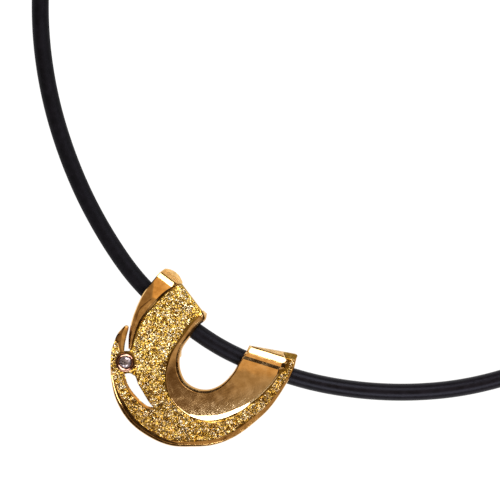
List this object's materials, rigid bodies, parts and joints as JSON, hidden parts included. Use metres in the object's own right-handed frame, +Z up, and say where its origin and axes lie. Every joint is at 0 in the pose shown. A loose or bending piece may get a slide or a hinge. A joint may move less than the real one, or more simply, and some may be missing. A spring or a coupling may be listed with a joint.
{
  "type": "diamond necklace",
  "caption": "Gold horseshoe slide pendant with nugget texture, polished crescent and blade, and a small bezel-set diamond, on a round black rubber neck cord with a plain barrel clasp.",
  "frame": {"origin": "middle of the neck loop, on the surface that the necklace lies on", "axes": "+Z up out of the surface, towards the pendant's face; +Y towards the clasp side of the loop, as up in the picture; +X to the right in the picture"},
  "size_m": [0.1299, 0.1476, 0.006],
  "materials": {
    "textured_gold": "cast nugget texture in 14 carat yellow gold, bright on the high spots",
    "polished_gold": "polished 14 carat yellow gold with fine wear marks",
    "diamond": "clear, cut and polished",
    "rubber": "smooth matte black with a soft sheen"
  },
  "bodies": {
    "root": {"pendant": "textured_gold", "diamond": "diamond", "neck_cord": "rubber", "clasp": "polished_gold"}
  },
  "joints": []
}
